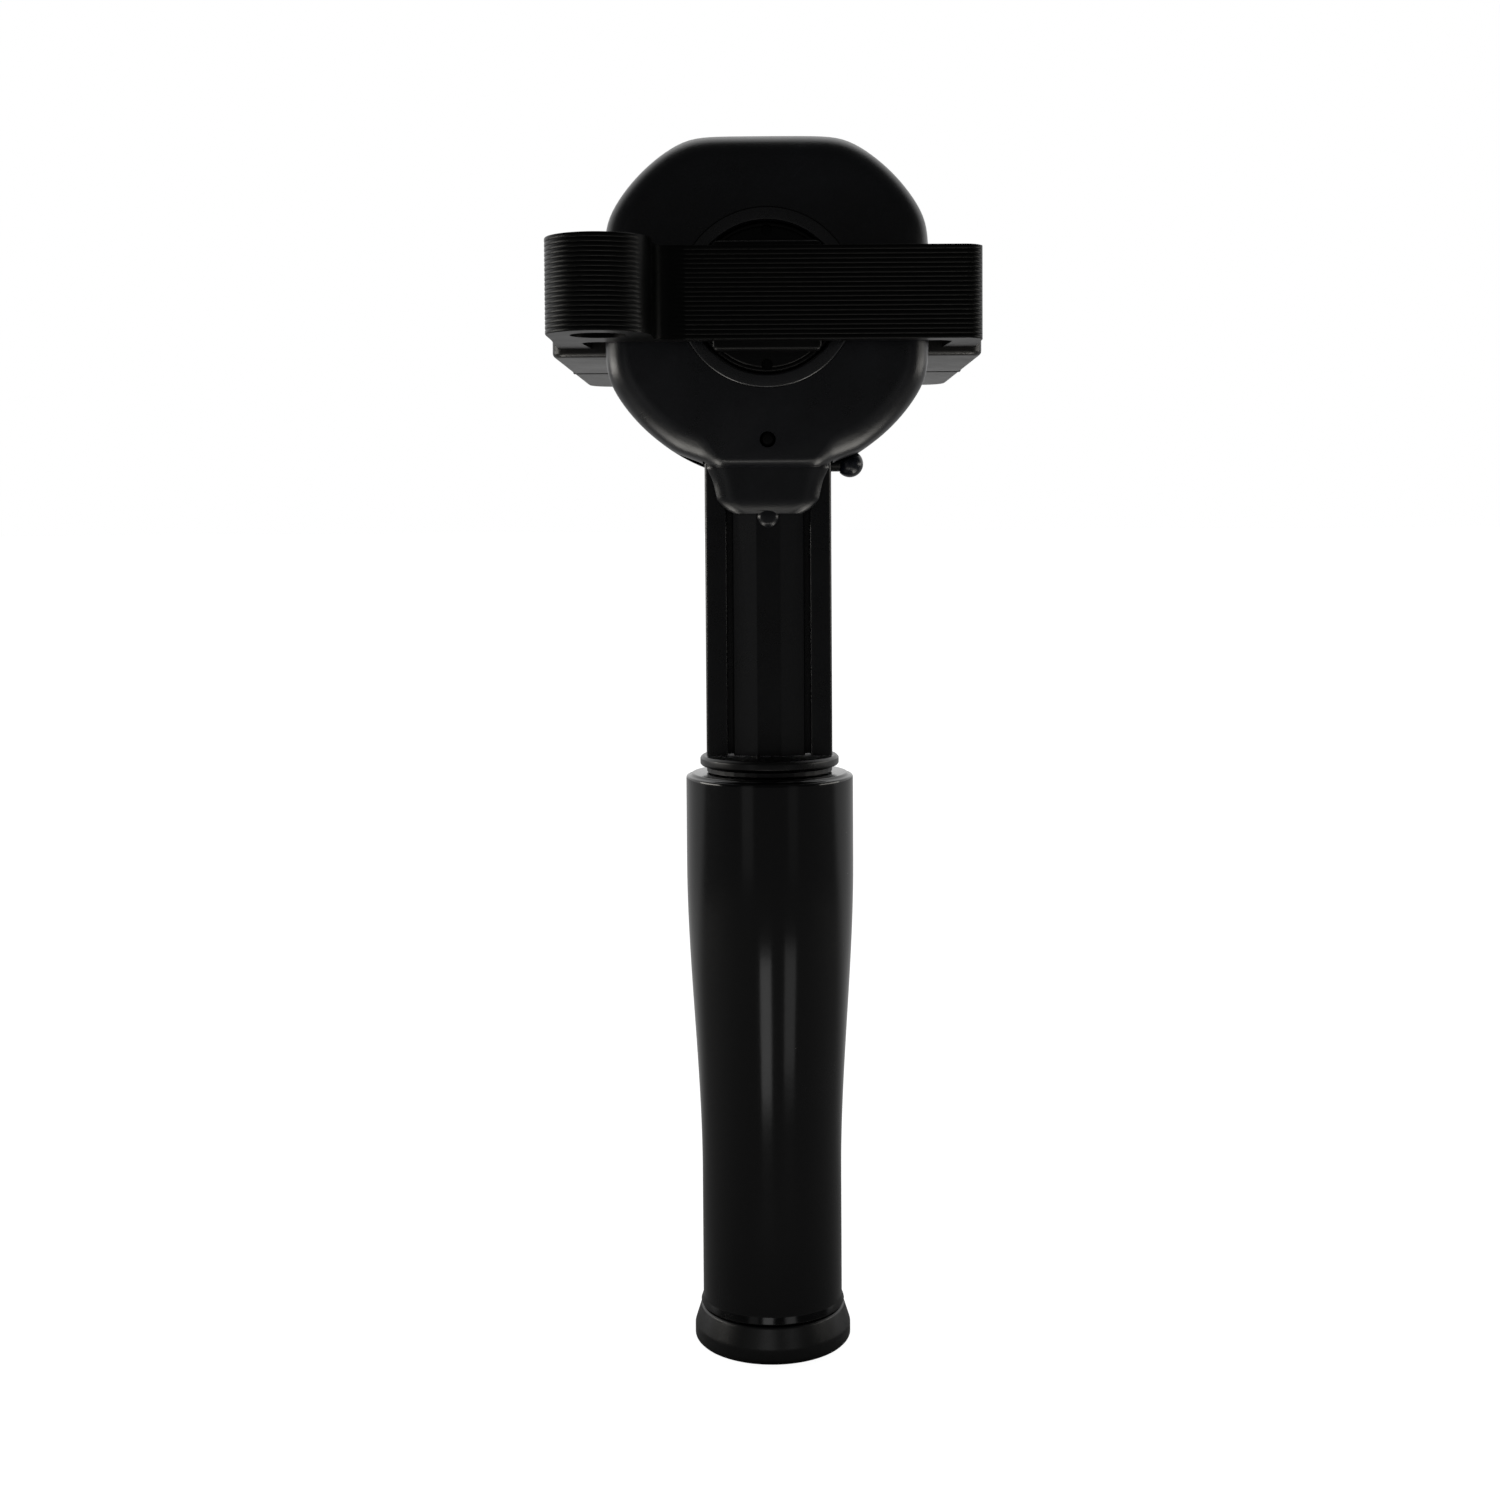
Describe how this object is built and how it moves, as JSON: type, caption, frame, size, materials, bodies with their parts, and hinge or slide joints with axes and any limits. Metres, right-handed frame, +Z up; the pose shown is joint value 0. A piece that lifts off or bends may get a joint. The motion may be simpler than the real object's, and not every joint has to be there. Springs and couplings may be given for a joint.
{
  "type": "winch handle",
  "caption": "Reversing ratchet winch handle: round ratchet head captured by a ribbed bridge with a lashing eye on a square drive block, fluted arm and turning waisted grip.",
  "frame": {"origin": "centre of the drive square's end face, on the drive axis", "axes": "+Y along the drive axis into the winch, +Z up along the hanging arm, +X to the right seen from the grip side"},
  "size_m": [0.087, 0.1587, 0.2373],
  "materials": {
    "block_nylon": "black moulded nylon, satin",
    "bridge_nylon": "black moulded nylon, ribbed, satin",
    "head_nylon": "black moulded nylon, satin",
    "hub_black": "black oxide steel, satin",
    "ring_acetal": "black acetal, smooth",
    "arm_nylon": "black glass-filled nylon, satin",
    "grip_black": "black moulded grip, soft gloss with fine wear",
    "cap_nylon": "black moulded nylon, satin",
    "core_nylon": "dark grey nylon",
    "bush_acetal": "natural acetal",
    "bush_bronze": "oiled bronze",
    "knob_plastic": "very dark blue-black plastic, glossy",
    "steel": "stainless steel"
  },
  "bodies": {
    "block": {"block_front_half": "block_nylon", "block_rear_half": "block_nylon", "bridge_bar": "bridge_nylon", "front_bush": "bush_bronze", "rear_bush": "bush_bronze", "bridge_bolt_left": "steel", "bridge_bolt_right": "steel", "block_screw_1": "steel", "block_screw_2": "steel", "block_screw_3": "steel", "block_screw_4": "steel"},
    "drive": {"drive_spindle": "steel", "ratchet_hub": "hub_black", "hub_screw": "steel", "drive_washer": "steel", "drive_detent_ball": "steel", "drive_detent_spring": "steel"},
    "handle": {"head_front_shell": "head_nylon", "head_rear_shell": "head_nylon", "hub_ring": "ring_acetal", "hub_rear_ring": "ring_acetal", "pawl_pin": "steel", "arm": "arm_nylon", "collar_ring": "ring_acetal", "grip_washer": "ring_acetal", "grip_spindle": "steel", "end_washer": "steel", "end_screw": "steel", "selector_detent_ball": "steel", "selector_detent_spring": "steel", "casing_screw_1": "steel", "casing_screw_2": "steel", "casing_screw_3": "steel", "casing_screw_4": "steel", "casing_screw_5": "steel", "casing_screw_6": "steel"},
    "grip": {"grip_sleeve": "grip_black", "grip_core": "core_nylon", "grip_upper_bush": "bush_acetal", "grip_lower_bush": "bush_acetal", "end_cap": "cap_nylon"},
    "pawl": {"pawl": "steel"},
    "selector": {"selector_rod": "steel", "selector_knob": "knob_plastic"}
  },
  "joints": [
    {"name": "drive_turn", "type": "hinge", "parent": "block", "child": "drive", "pos_m": [0, 0, 0], "axis": [0, 1, 0], "continuous": true},
    {"name": "handle_swing", "type": "hinge", "parent": "block", "child": "handle", "pos_m": [0, -0.1215, 0], "axis": [0, 1, 0], "range_deg": [-45, 45]},
    {"name": "grip_spin", "type": "hinge", "parent": "handle", "child": "grip", "pos_m": [0, -0.1215, -0.1], "axis": [0, 0, 1], "continuous": true},
    {"name": "selector_slide", "type": "slide", "parent": "handle", "child": "selector", "axis": [-1, 0, 0], "range_m": [0, 0.0024]},
    {"name": "pawl_tilt", "type": "hinge", "parent": "handle", "child": "pawl", "pos_m": [0, -0.1215, -0.0271], "axis": [0, 1, 0], "range_deg": [0, 30.94]}
  ],
  "couplings": [
    {"joint": "pawl_tilt", "follows": "selector_slide", "rad_per_m": 224.94}
  ]
}
